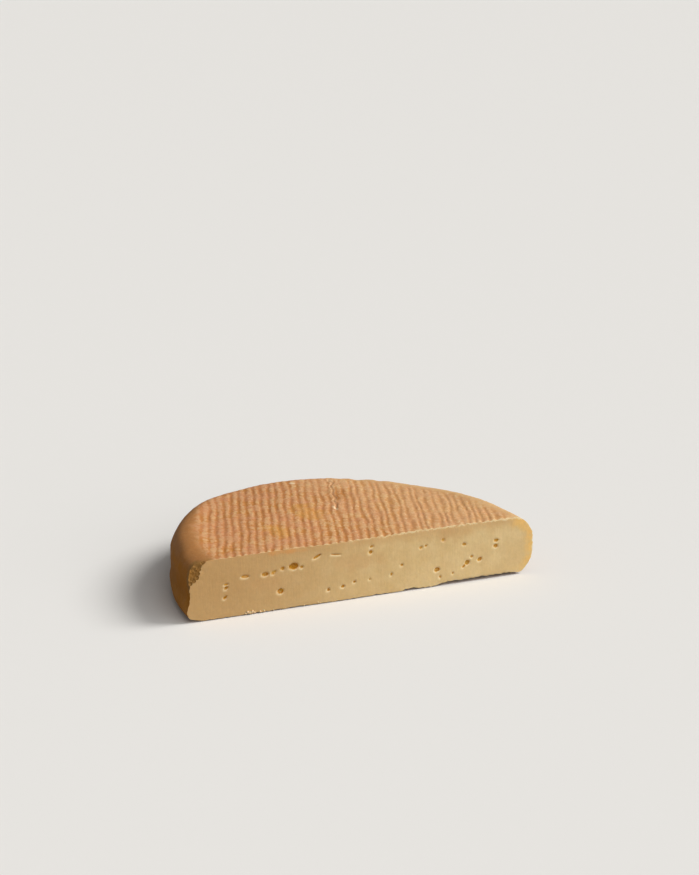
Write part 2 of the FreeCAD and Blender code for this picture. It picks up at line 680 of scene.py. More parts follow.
EYES: tuple[Eye, ...] = (
    Eye(-36.5, 20.3, 4.6, 3.2, 4.0, 2.6),
    Eye(-32.5, 19.4, 1.5, 1.1, 0.0, 0.5),
    Eye(-42.0, 20.0, 1.9, 1.5, 10.0, 0.74),
    Eye(-46.4, 18.7, 2.6, 1.5, 30.0, 0.37),
    Eye(-50.6, 18.4, 3.3, 1.7, 0.0, 1.18),
    Eye(-60.5, 18.7, 3.8, 1.2, -3.0, 0.62),
    Eye(-69.7, 16.2, 2.1, 0.8, 8.0, 0.5),
    Eye(-69.8, 14.5, 1.9, 1.3, 25.0, 0.87),
    Eye(-70.3, 10.1, 2.1, 1.3, 35.0, 0.87),
    Eye(-43.2, 9.2, 3.1, 2.5, 5.0, 1.24),
    Eye(-24.8, 23.5, 4.4, 1.1, 22.0, 0.93),
    Eye(-15.3, 23.2, 5.0, 0.55, -6.0, 0.62),
    Eye(-19.2, 6.5, 1.4, 1.5, 20.0, 0.68),
    Eye(-11.9, 7.1, 1.8, 1.3, 15.0, 0.68),
    Eye(-5.9, 8.5, 1.3, 1.2, 0.0, 0.62),
    Eye(2.0, 8.6, 0.9, 0.8, 0.0, 0.2),
    Eye(2.3, 22.0, 2.0, 1.7, 0.0, 0.69),
    Eye(2.9, 24.6, 1.9, 1.1, 12.0, 0.37),
    Eye(13.2, 9.5, 1.1, 1.6, -25.0, 0.37),
    Eye(18.6, 13.4, 1.4, 1.2, 0.0, 0.37),
    Eye(28.6, 20.6, 1.8, 1.2, 15.0, 0.41),
    Eye(31.2, 21.1, 1.5, 0.9, 10.0, 0.33),
    Eye(40.3, 22.8, 1.4, 1.3, 0.0, 0.2),
    Eye(37.1, 8.4, 3.0, 2.2, 0.0, 0.78),
    Eye(38.8, 4.6, 0.9, 1.4, 10.0, 0.2),
    Eye(45.5, 5.5, 1.0, 0.9, 0.0, 0.24),
    Eye(51.5, 19.2, 2.1, 1.4, -5.0, 0.53),
    Eye(55.5, 12.5, 1.4, 1.2, 0.0, 0.33),
    Eye(53.2, 9.8, 2.8, 2.3, 30.0, 0.74),
    Eye(51.3, 8.2, 1.9, 1.1, 45.0, 0.41),
    Eye(59.8, 10.6, 2.6, 1.8, 20.0, 0.65),
    Eye(68.7, 18.9, 2.4, 1.6, 0.0, 0.57),
    Eye(68.4, 16.2, 2.4, 1.9, 0.0, 0.65),
)


# --------------------------------------------------------------------------
# The half wheel's shell
# --------------------------------------------------------------------------


@dataclass
class Shell:
    """The closed skin of the half wheel, before its relief, in metres."""

    outline: Outline
    section: Section
    lean: float = LEAN
    rim_step: float = 0.9 * MM
    across_ridges: float = 0.52 * MM
    along_ridges: float = 0.72 * MM
    cut_step: float = 0.6 * MM
    base_step: float = 1.3 * MM
    gap: float = 0.45
    span: float = 2.4

    def build(self) -> Piece:
        """Builds the rim, the two pressed faces and the cut face as one closed mesh.

        Returns:
            The shell.
        """
        parts = [
            self._rim(),
            self._pressed_face(Face.TOP, self.across_ridges, self.along_ridges),
            self._pressed_face(Face.BASE, self.base_step, self.base_step),
            self._cut_face(),
        ]
        shell = weld(parts, "half_wheel_look")
        open_mesh(shell, "SELECT")
        bpy.ops.mesh.remove_doubles(threshold=WELD)
        bpy.ops.mesh.select_all(action="DESELECT")
        for axis, level in ((2, self.section.height), (2, 0.0), (1, self.outline.front)):
            pick_edges(shell, lambda co: near(co[axis], level), open_only=True)
            bpy.ops.mesh.fill(use_beauty=True)
        bpy.ops.mesh.select_all(action="SELECT")
        bpy.ops.mesh.normals_make_consistent(inside=False)
        close_mesh()
        return shell

    def _rim(self) -> Piece:
        """Spins the wheel's edge round its three arcs, and closes the two front lines.

        Returns:
            The rim, open at the cut and at both pressed faces.
        """
        part, line = self.section, self.outline
        inner = line.half_width - part.reach
        rim = self._rim_line()
        bpy.ops.mesh.select_all(action="SELECT")
        flank, nose_turn = line.flank_centre, math.pi - 2.0 * line.flank_turn
        for centre, angle, radius in (
            (flank, line.flank_turn, line.flank_radius),
            (line.nose_centre, nose_turn, line.nose_radius),
            (Vector((-flank.x, flank.y, 0.0)), line.flank_turn, line.flank_radius),
        ):
            bpy.ops.mesh.spin(
                steps=round(radius * angle / self.rim_step),
                angle=angle,
                center=tuple(centre),
                axis=(0.0, 0.0, -1.0),
            )
        for level in (part.height, 0.0):
            pick_corners(
                rim,
                lambda co: near(abs(co.x), inner) and near(co.y, line.front) and near(co.z, level),
            )
            bpy.ops.mesh.edge_face_add()
            bpy.ops.mesh.subdivide(number_cuts=round(2.0 * inner / self.cut_step) - 1)
        close_mesh()
        return rim

    def _rim_line(self) -> Piece:
        """Draws the wheel's edge at the right end of the cut.

        Returns:
            The line, still open in edit mode.
        """
        part, outer = self.section, self.outline.half_width
        height, reach = part.height, part.reach
        bpy.ops.mesh.primitive_plane_add(
            size=1.0,
            location=(outer - reach / 2.0, self.outline.front, height / 2.0),
            rotation=(math.pi / 2.0, 0.0, 0.0),
        )
        rim = bpy.context.object
        settle(rim, (reach, height, 1.0))
        open_mesh(rim)
        for radius, level in ((part.shoulder, height), (part.foot, 0.0)):
            pick_corners(rim, lambda co: near(co.x, outer) and near(co.z, level))
            bpy.ops.mesh.bevel(
                offset=radius,
                offset_type="ABSOLUTE",
                segments=max(4, round(radius * math.pi / 2.0 / self.rim_step)),
                profile=0.5,
                affect="VERTICES",
            )
        bpy.ops.mesh.select_all(action="SELECT")
        bpy.ops.mesh.delete(type="ONLY_FACE")
        pick_edges(rim, lambda co: near(co.x, outer - reach))
        bpy.ops.mesh.delete(type="EDGE")
        for length, test in (
            (height - part.shoulder - part.foot, lambda co: near(co.x, outer)),
            (reach - part.shoulder, lambda co: near(co.z, height)),
            (reach - part.foot, lambda co: near(co.z, 0.0)),
        ):
            pick_edges(rim, test)
            bpy.ops.mesh.subdivide(number_cuts=max(1, round(length / self.rim_step) - 1))
        return rim

    def _trimmed_grid(
        self,
        centre: Vector,
        size: tuple[float, float],
        steps: tuple[float, float],
        turn: tuple[float, float, float],
        keep: Callable[[np.ndarray, np.ndarray, np.ndarray], np.ndarray],
    ) -> Piece:
        """Lays a fine grid and takes away what lies outside a region.

        Args:
            centre: The middle of the grid.
            size: Its two sides.
            steps: The size of its cells along those sides.
            turn: The grid's rotation.
            keep: Says which corners stay, from their x, y and z.

        Returns:
            The trimmed grid.
        """
        bpy.ops.mesh.primitive_grid_add(
            x_subdivisions=round(size[0] / steps[0]),
            y_subdivisions=round(size[1] / steps[1]),
            size=1.0,
            location=centre,
            rotation=turn,
        )
        grid = bpy.context.object
        settle(grid, (*size, 1.0))
        outside = ~keep(*corner_places(grid))
        open_mesh(grid)
        bpy.ops.mesh.select_mode(type="VERT")
        sheet = bmesh.from_edit_mesh(grid.data)
        sheet.verts.ensure_lookup_table()
        for index in np.nonzero(outside)[0]:
            sheet.verts[int(index)].select_set(True)
        bmesh.update_edit_mesh(grid.data)
        bpy.ops.mesh.delete(type="VERT")
        bpy.ops.mesh.select_all(action="SELECT")
        bpy.ops.mesh.delete_loose(use_verts=True, use_edges=True, use_faces=False)
        close_mesh()
        return grid

    def _pressed_face(self, face: Face, across: float, along: float) -> Piece:
        """Lays one pressed face, with its cells in line with the ridges.

        Args:
            face: Which face.
            across: The cells' size across the ridges.
            along: Their size along the ridges.

        Returns:
            The face, short of the rim and of the cut by part of a cell.
        """
        line, gap = self.outline, self.gap * max(across, along)
        level = self.section.height if face is Face.TOP else 0.0
        side = self.span * line.half_width
        return self._trimmed_grid(
            Vector((0.0, line.front + line.depth / 2.0, level)),
            (side, side),
            (across, along),
            (0.0, 0.0, -self.lean),
            lambda x, y, z: (line.inset(x, y) > self.section.reach + gap)
            & (y > line.front + gap),
        )

    def _cut_face(self) -> Piece:
        """Lays the cut face.

        Returns:
            The face, short of its edge by part of a cell.
        """
        part, step = self.section, self.cut_step
        return self._trimmed_grid(
            Vector((0.0, self.outline.front, part.height / 2.0)),
            (2.0 * part.half_width, part.height),
            (step, step),
            (math.pi / 2.0, 0.0, 0.0),
            lambda x, y, z: part.inset(x, z) > self.gap * step,
        )


# --------------------------------------------------------------------------
# Eyes, the torn corner and the marks on the top
# --------------------------------------------------------------------------


@dataclass
class EyeCutters:
    """Small lumps that are cut out of the paste as its eyes."""

    front: float
    eyes: Sequence[Eye] = EYES
    segments: int = 16
    rings: int = 9
    cuts: int = 2
    uneven: float = 0.07
    rim_width: float = 0.9

    def refine(self, piece: Piece) -> None:
        """Gives the cut face smaller cells round each eye.

        Args:
            piece: The shell, before its eyes are cut.
        """

        def beside(co: Vector) -> bool:
            """Says whether a place on the cut face is beside an eye.

            Args:
                co: The place.

            Returns:
                Whether an eye is near.
            """
            return any(
                abs(co.x / MM - eye.along) < eye.width / 2.0 + self.rim_width
                and abs(co.z / MM - eye.rise) < eye.height / 2.0 + self.rim_width
                for eye in self.eyes
            )

        open_mesh(piece)
        bpy.ops.mesh.select_mode(type="FACE")
        shell = bmesh.from_edit_mesh(piece.data)
        for side in shell.faces:
            middle = side.calc_center_median()
            side.select_set(near(middle.y, self.front) and beside(middle))
        bmesh.update_edit_mesh(piece.data)
        bpy.ops.mesh.subdivide(number_cuts=self.cuts)
        close_mesh()

    def build(self) -> list[Piece]:
        """Makes every cutter, in two sets so that none overlaps another of its set.

        Returns:
            Each set as one object.
        """
        lumps = [self._lump(number, eye) for number, eye in enumerate(self.eyes)]
        return [weld(lumps[first::2], f"eye_cutters_{first}") for first in (0, 1)]

    def _lump(self, number: int, eye: Eye) -> Piece:
        """Makes one cutter, a little uneven.

        Args:
            number: Its place in the list, which seeds its unevenness.
            eye: Its sizes.

        Returns:
            The cutter.
        """
        bpy.ops.mesh.primitive_uv_sphere_add(
            segments=self.segments,
            ring_count=self.rings,
            radius=0.5,
            location=(eye.along * MM, self.front, eye.rise * MM),
            rotation=(math.pi / 2.0, math.radians(-eye.lean), 0.0),
        )
        return rough_lump(
            (eye.width * MM, eye.height * MM, 2.0 * eye.depth * MM),
            offset=self.uneven * min(eye.width, eye.height) * MM,
            uniform=1.0,
            seed=number,
        )


@dataclass
class TornCorner:
    """Rough lumps that tear the rind away at the left end of the cut.

    Each is its place along the cut, its height and its size, in millimetres.
    """

    front: float
    lumps: Triples = (
        (-79.9, 29.6, 1.2),
        (-81.4, 28.8, 1.9),
        (-83.4, 27.4, 2.6),
        (-85.2, 25.8, 2.9),
        (-82.6, 25.2, 1.2),
        (-83.2, 23.4, 1.3),
        (-85.6, 23.2, 2.6),
        (-83.8, 21.6, 1.3),
        (-86.4, 21.4, 2.3),
        (-85.2, 20.2, 1.2),
        (-87.6, 19.6, 1.7),
    )
    shallow: float = 0.5
    uneven: float = 0.09
    first_seed: int = 40

    def build(self) -> list[Piece]:
        """Makes the lumps, each to be carved by itself, because they overlap.

        Returns:
            The tearing tools.
        """
        made = []
        for number, (along, rise, size) in enumerate(self.lumps):
            bpy.ops.mesh.primitive_ico_sphere_add(
                subdivisions=3,
                radius=size * MM,
                location=(along * MM, self.front, rise * MM),
            )
            lump = rough_lump(
                (1.0, self.shallow, 1.0),
                offset=self.uneven * size * MM,
                uniform=0.6,
                normal=0.4,
                seed=self.first_seed + number,
            )
            made.append(lump)
        return made


@dataclass(frozen=True)
class TopMarks:
    """The crack across the ridges and the nicks in the rear rim, in millimetres."""

    height: float
    crack: tuple[tuple[float, float], ...] = (
        (24.6, 45.0),
        (22.0, 38.5),
        (22.4, 34.0),
        (18.6, 28.5),
        (17.6, 22.5),
        (14.2, 16.0),
        (13.6, 10.0),
        (10.4, 5.5),
        (9.6, 0.0),
        (6.4, -6.5),
    )
    nicks: tuple[tuple[float, float], ...] = (
        (37.5, 37.0),
        (47.5, 30.5),
        (60.5, 18.5),
        (30.0, 45.0),
        (-8.0, 52.5),
    )
    nick_drop: float = 2.0

    def build(self) -> tuple[Piece, Piece]:
        """Draws the marks as helpers for the relief.

        Returns:
            The line of the crack, and the corners of the nicks.
        """
        crack = [Vector((x, y, self.height)) * MM for x, y in self.crack]
        nicks = [Vector((x, y, self.height - self.nick_drop)) * MM for x, y in self.nicks]
        return trail(crack, "crack_line"), trail(nicks, "rim_nicks", joined=False)


# --------------------------------------------------------------------------
# Relief
# --------------------------------------------------------------------------


@dataclass(frozen=True)
class Spot:
    """A point of the skin, as values of the relief's graph, in millimetres."""

    graph: Graph
    place: Value
    x: Value
    y: Value
    z: Value
    behind: Value
    inset: Value


@dataclass(frozen=True)
class Relief:
    """The uneven surface of the wheel, in millimetres."""

    height: float
    front: float
    pitch: float = 3.65
    depth: float = 0.41
    lean: float = LEAN
    spread: tuple[float, float, float] = (0.973, 1.37e-4, 5.3e-6)
    # How far the groove colour is offset onto the ridge flanks turned from the key light, as
    # painted shade.
    shade_turn: float = 0.55
    roundness: float = 0.55
    mid_height: float = 14.5
    base_depth: float = 0.38
    crack_depth: float = 0.4
    nick_depth: float = 0.7
    eye_dip: float = 0.22
    nick_cut: float = 0.4
    top_band: tuple[float, float] = (5.5, 0.6)
    rim_band: tuple[float, float] = (3.4, 0.2)
    base_band: tuple[float, float] = (2.2, 0.3)
    tuck: float = 1.1
    worn_place: tuple[float, float, float] = (17.0, 34.0, 0.0)
    torn_place: tuple[float, float] = (-85.0, 24.0)
    foot_gaps: tuple[float, float] = (1.3, 0.75)
    rear_rises: tuple[float, float, float] = (-0.7, 0.8, 1.5)
    foot_out: float = 2.7
    crown_out: float = 1.1
    foot_in: float = -1.1

    def press(self, piece: Piece, crack: Piece, nicks: Piece, eyes: Piece) -> None:
        """Moves the skin, and keeps what the finishes read: groove, crack, lip, plain.

        Args:
            piece: The closed shell, with its inset from the rim as the attribute rim.
            crack: The line that the crack follows.
            nicks: Where the rim is nicked.
            eyes: The shapes that the eyes were cut with.
        """
        tree = bpy.data.node_groups.new("pressed_relief", "GeometryNodeTree")
        for way in ("INPUT", "OUTPUT"):
            tree.interface.new_socket("Geometry", in_out=way, socket_type="NodeSocketGeometry")
        graph = Graph(tree)
        enter, leave = graph.node("NodeGroupInput"), graph.node("NodeGroupOutput")
        at = self._spot(graph)
        ridge, groove, groove_stain_and_shade, plain = self._ridges(at)
        upper = graph.ease(at.z, *(self.height - below for below in self.top_band))
        outer = graph.ease(at.inset, *self.rim_band)
        gash = graph.distance(at.place, crack, "EDGES") + graph.swing(at.place, 3.0, 0.3, 1.0)
        nick = graph.ease(graph.distance(at.place, nicks, "POINTS"), 4.6, 0.8)

        torn = (
            graph.ease(gash, 0.9, 0.2, 0.0, -self.crack_depth)
            + graph.ease(gash, 2.0, 1.1, 0.0, 0.1)
            + nick * -self.nick_depth
        )
        lift = (self._top_lift(at, groove) + torn + self._rear_lift(at)) * upper
        lift = lift + self._base_lift(at, ridge)
        out = self._side_swell(at) + self._ragged_end(at) + nick * -self.nick_cut
        out = out * outer + self._lopsided(at)
        by_eye = graph.distance(at.place, eyes, "FACES")
        sunk = graph.ease(by_eye, 0.6, 0.0, 0.0, self.eye_dip)
        back = self._knife_line(at) + self._crumbled_corner(at) + sunk
        # Painted highlight: a pale crescent on the lower-left rim of each eye, where the rim faces
        # the key light.
        beside = graph.vector("ADD", at.place, (0.5, 0.0, 0.45))
        eye_highlight = graph.ease(graph.distance(beside, eyes, "FACES"), 0.8, 0.1)

        away = graph.vector("NORMALIZE", graph.combine(at.x, at.behind + 1e-4, 0.0))
        move = graph.vector("SCALE", away, out)
        move = graph.vector("ADD", move, graph.combine(0.0, back, lift))
        shift = graph.node("GeometryNodeSetPosition")
        graph.feed(shift.inputs["Offset"], graph.vector("SCALE", move, MM))
        graph.feed(shift.inputs["Geometry"], enter.outputs[0])
        flow = shift.outputs[0]
        for name, value in (
            # The groove attribute holds the groove colour's mask, with painted shade on the ridge
            # flanks.
            ("groove", groove_stain_and_shade * upper),
            ("crack", graph.ease(gash, 1.9, 0.1) * upper),
            ("eye_highlight", eye_highlight * graph.ease(at.behind, 0.3, 0.0)),
            ("plain", plain),
        ):
            keep = graph.node("GeometryNodeStoreNamedAttribute", data_type="FLOAT", domain="POINT")
            keep.inputs["Name"].default_value = name
            graph.feed(keep.inputs["Value"], value)
            graph.feed(keep.inputs["Geometry"], flow)
            flow = keep.outputs[0]
        graph.feed(leave.inputs[0], flow)

        apply_new(piece, "NODES", node_group=tree)

    def _spot(self, graph: Graph) -> Spot:
        """Reads the point that is being moved.

        Args:
            graph: The relief's node graph.

        Returns:
            The point.
        """
        place = graph.vector("SCALE", graph.node("GeometryNodeInputPosition").outputs[0], 1e3)
        x, y, z = graph.split(place)
        rim = graph.node("GeometryNodeInputNamedAttribute", data_type="FLOAT")
        rim.inputs["Name"].default_value = "rim"
        return Spot(graph, place, x, y, z, y - self.front, Value(graph, rim.outputs[0]))

    def _ridges(self, at: Spot) -> tuple[Value, ...]:
        """Lays out the ridges that the draining mat pressed in.

        Args:
            at: The point.

        Returns:
            The ridge's height from 0 to 1, the groove's depth where ridges show, the
            groove colour's mask, which runs a little further towards the rim and is the rind's own
            smear in the grooves shifted onto the flanks turned from the key light as painted
            shade, and how smooth the rim is.
        """
        graph, flat = at.graph, at.graph.combine(at.x, at.y, 0.0)
        across, along = turned(at.x, at.y, self.lean)
        drawn = graph.combine(across, along * 0.22, 0.0)
        wander = (
            graph.swing(flat, 19.0, 0.5, 1.0)
            + graph.swing(flat, 3.4, 0.22, 2.0) * graph.ease(at.x, -10.0, 50.0, 1.0, 1.7)
            + graph.swing(drawn, 6.0, 0.9, 0.0) * graph.ease(at.x, -25.0, 35.0, 0.35, 1.0)
        )
        close, drift, bend = self.spread
        spread = across * (close + across * drift + across * across * bend)
        turn = (spread + wander) * (math.tau / self.pitch)
        strung = graph.combine(across * 0.42, along, 0.0)
        bead = graph.swing(strung, 2.6, 0.34, 1.0) + graph.swing(flat, 1.3, 0.22, 1.0) + 0.92
        ridge = self._crest(turn) * bead
        # Painted shade: this wave is offset onto the flank of each ridge turned from the key
        # light.
        crust = self._crest(turn - self.shade_turn) * bead

        margin = (
            graph.ease(at.x, -46.0, -68.0, 0.0, 8.0)
            + graph.ease(at.x, 22.0, 44.0, 0.0, 7.0)
            + graph.swing(flat, 9.0, 1.6, 1.0)
            + 2.6
        )
        within = at.inset - margin
        worn = graph.vector("LENGTH", graph.vector("SUBTRACT", flat, self.worn_place))
        strength = graph.math("ADD", graph.swing(flat, 12.0, 0.6, 2.0), 0.8, clamp=True)
        strength = strength * graph.ease(worn, 19.0, 5.0, 1.0, 0.5)
        groove = graph.rest(ridge) * strength * graph.ease(within, 1.5, 8.0)
        groove_stain_and_shade = graph.rest(crust) * strength * graph.ease(within, -1.5, 2.5)
        return ridge, groove, groove_stain_and_shade, graph.ease(within, 4.0, -2.0)

    def _crest(self, turn: Value) -> Value:
        """Gives the round-topped rise and fall of the ridges.

        Args:
            turn: Where the point is across the ridges, as an angle.

        Returns:
            The rise, from 0 in a groove to 1 on a ridge.
        """
        graph = turn.graph
        return graph.math("POWER", graph.math("COSINE", turn) * 0.5 + 0.5, self.roundness)

    def _top_lift(self, at: Spot, groove: Value) -> Value:
        """Gives how far the grooves and lumps move the top up.

        Args:
            at: The point.
            groove: The depth of the groove there.

        Returns:
            The lift.
        """
        swing = at.graph.swing
        return (
            groove * -self.depth
            + swing(at.place, 46.0, 0.34, 0.0)
            + swing(at.place, 7.0, 0.13, 1.0)
            + swing(at.place, 1.3, 0.1, 1.0)
        )

    def _rear_lift(self, at: Spot) -> Value:
        """Gives how the rear of the top sags on the left and stands up on the right.

        Args:
            at: The point.

        Returns:
            The lift.
        """
        ease, behind, inset = at.graph.ease, at.behind, at.inset
        rear, right, left = self.rear_rises
        near_rim = ease(inset, 26.0, 8.0)
        middle = ease(at.x, -42.0, -22.0) * ease(at.x, 50.0, 36.0) * ease(behind, 30.0, 62.0)
        return (
            middle * near_rim * rear
            + ease(at.x, 60.0, 76.0) * ease(behind, 10.0, 36.0) * near_rim * right
            + ease(at.x, -34.0, -60.0) * ease(behind, 8.0, 26.0) * ease(inset, 22.0, 6.0) * left
        )

    def _base_lift(self, at: Spot, ridge: Value) -> Value:
        """Gives how far the underside moves up, from its own ridges and its uneven edge.

        Args:
            at: The point.
            ridge: The ridge's height there.

        Returns:
            The lift.
        """
        graph, ease = at.graph, at.graph.ease
        long_gap, short_gap = self.foot_gaps
        pressed = graph.rest(ridge) * ease(at.inset, 5.0, 9.0, 0.0, self.base_depth)
        gap = (
            ease(at.x, 34.0, 44.0) * ease(at.x, 85.0, 74.0) * long_gap
            + ease(at.x, 18.0, 21.0) * ease(at.x, 29.0, 25.0) * short_gap
            + graph.math("MAXIMUM", graph.swing(at.place, 5.0, 0.3, 1.0), 0.0)
            + 0.3
        )
        return (pressed + gap * ease(at.behind, 7.0, 0.0)) * ease(at.z, *self.base_band)

    def _side_swell(self, at: Spot) -> Value:
        """Gives how far the side bulges.

        Args:
            at: The point.

        Returns:
            The swell.
        """
        swing = at.graph.swing
        middle = (at.z - self.mid_height) * (1.0 / self.mid_height)
        return (
            middle * middle * -self.tuck
            + 0.15
            + swing(at.place, 30.0, 0.5, 0.0)
            + swing(at.place, 7.5, 0.16, 1.0)
            + swing(at.place, 2.0, 0.05, 1.0)
        )

    def _ragged_end(self, at: Spot) -> Value:
        """Gives how rough the two upright edges of the cut are.

        Args:
            at: The point.

        Returns:
            How far they move out.
        """
        graph = at.graph
        ends = graph.ease(graph.math("ABSOLUTE", at.x), 74.0, 82.0)
        return graph.swing(at.place, 1.2, 0.34, 1.0) * graph.ease(at.behind, 2.0, 0.0) * ends

    def _lopsided(self, at: Spot) -> Value:
        """Gives how the left side stands squarer and the right foot tucks under.

        Args:
            at: The point.

        Returns:
            How far the side moves out.
        """
        ease = at.graph.ease
        left, right = ease(at.x, -45.0, -80.0), ease(at.x, 56.0, 80.0)
        foot = ease(at.z, 10.5, 2.5) * ease(at.inset, 9.5, 3.0)
        crown = ease(at.z, 16.0, 27.0) * ease(at.inset, 10.0, 3.0)
        return left * (foot * self.foot_out + crown * self.crown_out) + right * foot * self.foot_in

    def _knife_line(self, at: Spot) -> Value:
        """Gives how far the cut face moves back and forth.

        Args:
            at: The point.

        Returns:
            The move along y.
        """
        graph = at.graph
        wave = graph.swing(at.place, 34.0, 0.22, 0.0) + graph.swing(at.place, 5.0, 0.05, 1.0)
        return wave * graph.ease(at.behind, 5.0, 0.0)

    def _crumbled_corner(self, at: Spot) -> Value:
        """Gives the roughness of the torn corner.

        Args:
            at: The point.

        Returns:
            The move along y.
        """
        graph = at.graph
        x, z = self.torn_place
        corner = graph.vector("SUBTRACT", at.place, (x, self.front, z))
        near = graph.ease(graph.vector("LENGTH", corner), 7.0, 3.5)
        return near * graph.swing(at.place, 1.3, 0.22, 2.0)


# --------------------------------------------------------------------------
# Finishes
# --------------------------------------------------------------------------


def shader_group(
    name: str, vectors: Sequence[str], numbers: Sequence[str], results: Sequence[str]
) -> tuple[Graph, list[Value], bpy.types.Node]:
    """Starts a shader group.

    Args:
        name: Its name.
        vectors: The names of the vectors that it is given.
        numbers: The names of the numbers that it is given.
        results: The names of the numbers that it gives.

    Returns:
        Its graph, what it is given, and the node that takes its results.
    """
    tree = bpy.data.node_groups.new(name, "ShaderNodeTree")
    for names, way, kind in (
        (vectors, "INPUT", "NodeSocketVector"),
        (numbers, "INPUT", "NodeSocketFloat"),
        (results, "OUTPUT", "NodeSocketFloat"),
    ):
        for label in names:
            tree.interface.new_socket(label, in_out=way, socket_type=kind)
    graph = Graph(tree)
    enter = graph.node("NodeGroupInput")
    given = [Value(graph, enter.outputs[label]) for label in (*vectors, *numbers)]
    return graph, given, graph.node("NodeGroupOutput")


def mottle_group() -> Tree:
    """Builds the shader group of soft patches and fine flecks.

    Returns:
        The group: Place in millimetres, Patch and Fleck scales in, Broad and Fine out.
    """
    graph, (place, *scales), leave = shader_group(
        "mottle", ["Place"], ["Patch Scale", "Fleck Scale"], ["Broad", "Fine"]
    )
    for number, (scale, detail) in enumerate(zip(scales, (3.0, 2.0))):
        noise = graph.node("ShaderNodeTexNoise")
        graph.feed(noise.inputs["Vector"], place)
        graph.feed(noise.inputs["Scale"], scale)
        graph.feed(noise.inputs["Detail"], detail)
        graph.feed(leave.inputs[number], graph.ease(noise.outputs[0], 0.32, 0.68))
    return graph.tree


def blot_group() -> Tree:
    """Builds the shader group of one soft-edged ragged patch.

    Returns:
        The group: Place, Centre and Stretch in, Mask out.
    """
    names = ["Place", "Centre", "Stretch"]
    graph, (place, centre, stretch), leave = shader_group("blot", names, [], ["Mask"])
    offset = graph.vector("SUBTRACT", place, centre)
    reach = graph.vector("LENGTH", graph.vector("MULTIPLY", offset, stretch))
    graph.feed(leave.inputs[0], graph.ease(reach + graph.swing(place, 6.0, 0.5, 3.0), 1.25, 0.35))
    return graph.tree


@dataclass(frozen=True)
class Surface:
    """How bumps and light work in a finish; lengths are in millimetres."""

    bump_depth: float
    bump_share: float
    glow: float
    glow_colour: Colour
    glow_reach: float
    shine: float = 0.5


class Paint:
    """A material with one Principled shader, whose colour is laid on coat by coat."""

    def __init__(self, name: str) -> None:
        """Starts the material.

        Args:
            name: Its name.
        """
        self.material = bpy.data.materials.new(name)
        self.material.use_nodes = True
        self.graph = Graph(self.material.node_tree)
        where = self.graph.node("ShaderNodeTexCoord").outputs["Object"]
        self.place = self.graph.vector("SCALE", where, 1e3)
        self.x, self.y, self.z = self.graph.split(self.place)
        self.tone: Input = (0.0, 0.0, 0.0)

    def coat(self, share: Input, colour: Input) -> None:
        """Lays a colour over what is there.

        Args:
            share: How much of it shows.
            colour: The colour.
        """
        self.tone = self.graph.blend(share, self.tone, colour)

    def shade(self, share: Value) -> None:
        """Darkens or lightens what is there.

        Args:
            share: What the colour is multiplied by.
        """
        grey = self.graph.combine(share, share, share)
        self.tone = self.graph.blend(1.0, self.tone, grey, "MULTIPLY")

    def patch(self, blot: Tree, centre: Sequence[float], reach: Sequence[float]) -> Value:
        """Gives how much of a ragged patch lies here.

        Args:
            blot: The shader group of one patch.
            centre: Its middle, in millimetres.
            reach: How far it goes along x, y and z; 0 is without end.

        Returns:
            The share, from 0 to 1.
        """
        stretch = [1.0 / step if step else 0.0 for step in reach]
        return self.graph.group(blot, self.place, centre, stretch)[0]

    def finish(self, rough: Value, grain: Value, surface: Surface) -> Material:
        """Sets what the shader needs beside the colour.

        Args:
            rough: The roughness.
            grain: The height of the fine bumps.
            surface: How bumps and light work.

        Returns:
            The material.
        """
        graph, shader = self.graph, self.material.node_tree.nodes["Principled BSDF"]
        bump = graph.node("ShaderNodeBump")
        for node, name, value in (
            (bump, "Strength", surface.bump_share),
            (bump, "Distance", surface.bump_depth * MM),
            (bump, "Height", grain),
            (shader, "Normal", bump.outputs[0]),
            (shader, "Base Color", self.tone),
            (shader, "Roughness", rough),
            (shader, "Specular IOR Level", surface.shine),
            (shader, "Subsurface Weight", surface.glow),
            (shader, "Subsurface Radius", surface.glow_colour),
            (shader, "Subsurface Scale", surface.glow_reach * MM),
        ):
            graph.feed(node.inputs[name], value)
        return self.material


